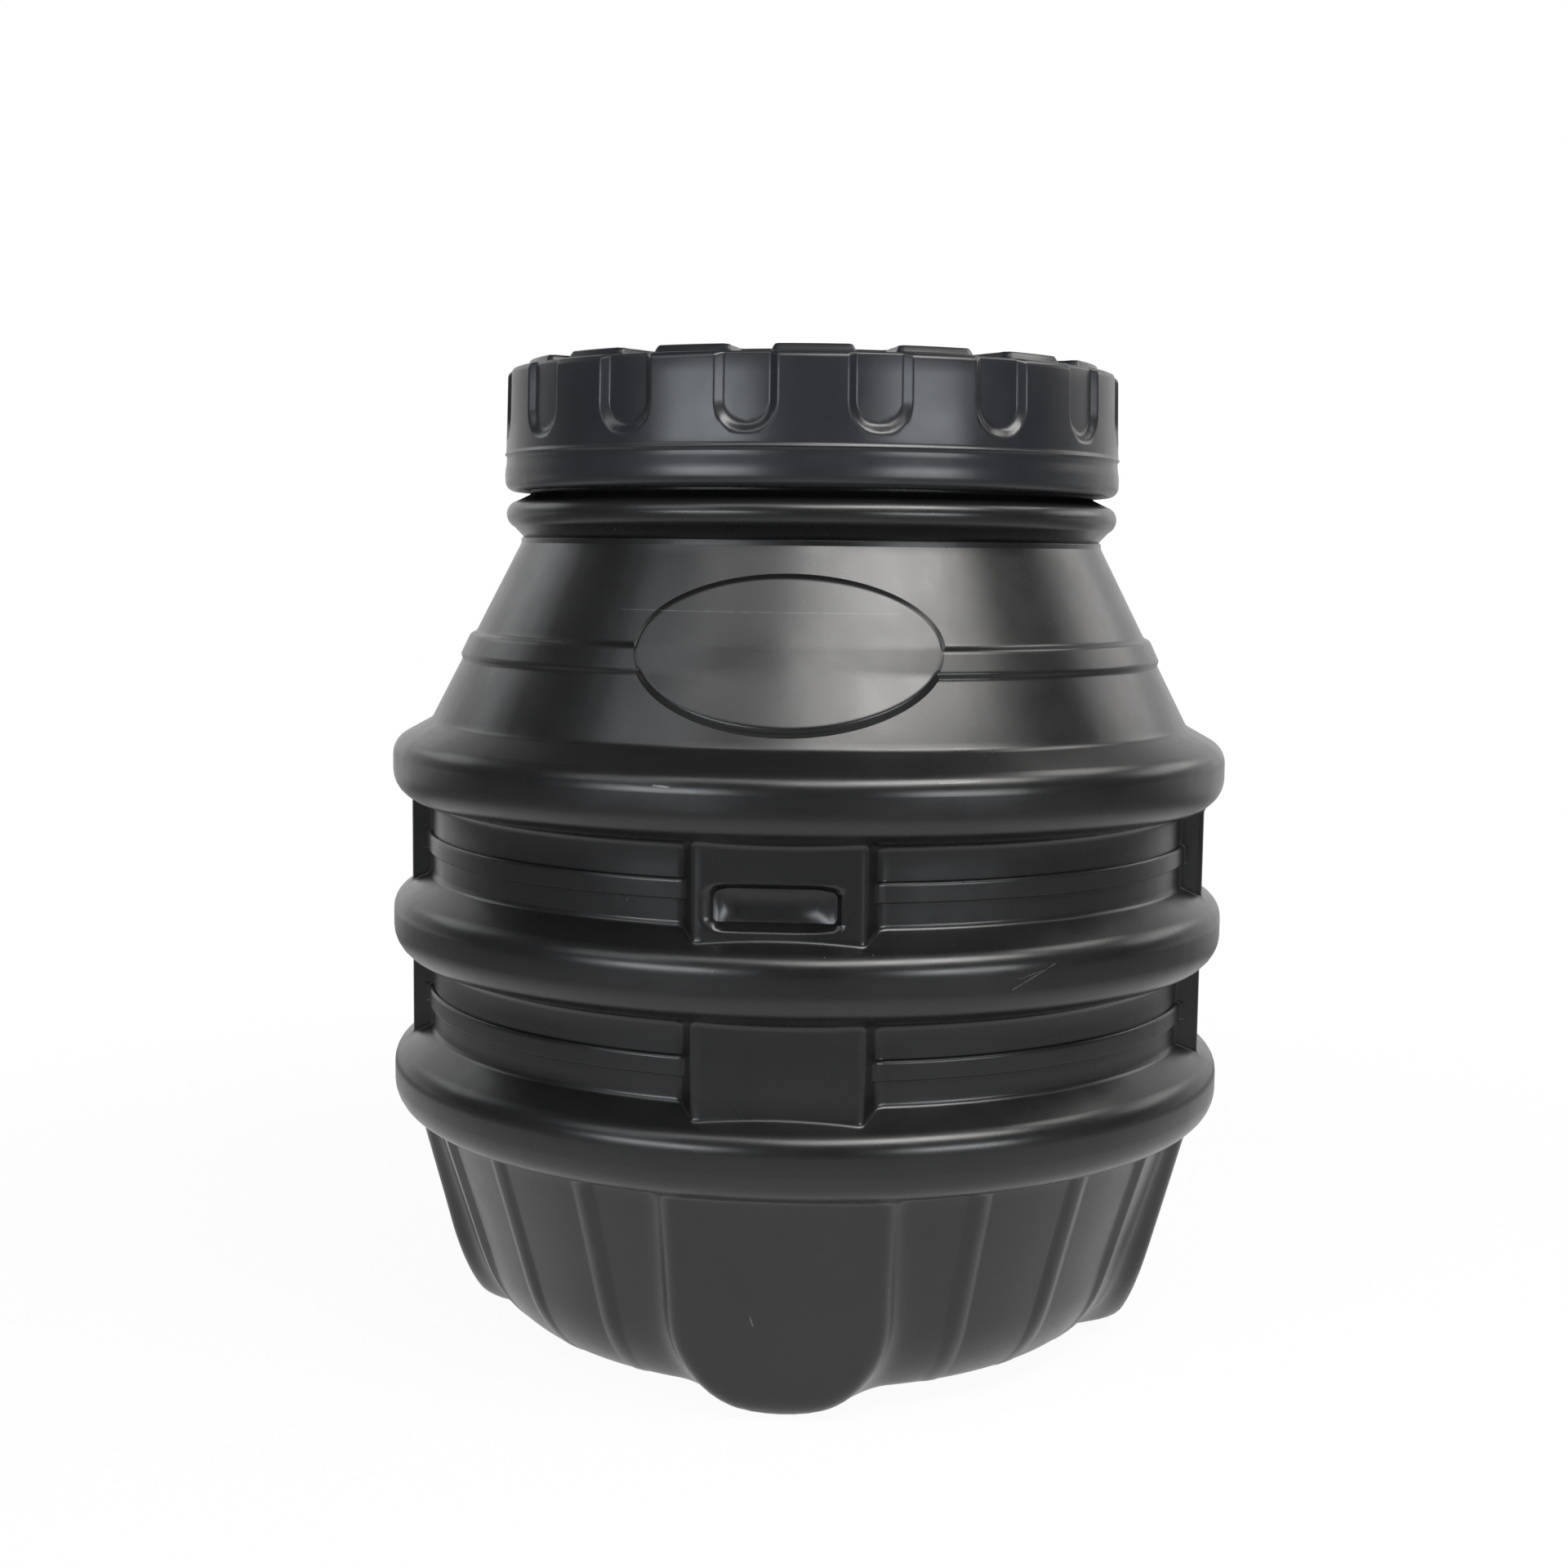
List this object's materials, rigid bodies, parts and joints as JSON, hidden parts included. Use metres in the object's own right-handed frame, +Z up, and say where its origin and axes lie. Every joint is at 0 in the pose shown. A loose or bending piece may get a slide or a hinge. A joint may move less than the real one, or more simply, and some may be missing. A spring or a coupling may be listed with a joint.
{
  "type": "water meter chamber",
  "caption": "Ringed, hollow black plastic chamber with flat side panels, sunk hand grips and a screw lid on a rubber seal, buried to house a water meter.",
  "frame": {"origin": "centre of the footprint, on the surface that the feet stand on", "axes": "+Z up along the chamber's axis, -Y towards the front panel with the plaque"},
  "size_m": [0.65, 0.6498, 0.75],
  "materials": {
    "body_plastic": "satin black moulded polyethylene",
    "lid_plastic": "satin black moulded polyethylene",
    "seal_rubber": "matt black rubber"
  },
  "bodies": {
    "chamber": {"chamber_body": "body_plastic"},
    "seal": {"lid_seal": "seal_rubber"},
    "lid": {"screw_lid": "lid_plastic"}
  },
  "joints": [
    {"name": "lid_rise", "type": "slide", "parent": "chamber", "child": "seal", "axis": [0, 0, 1], "range_m": [0, 0.036]},
    {"name": "lid_turn", "type": "hinge", "parent": "seal", "child": "lid", "pos_m": [0, 0, 0.7], "axis": [0, 0, 1], "range_deg": [0, 540]}
  ],
  "couplings": [
    {"joint": "lid_rise", "follows": "lid_turn", "m_per_rad": 0.0038197}
  ]
}
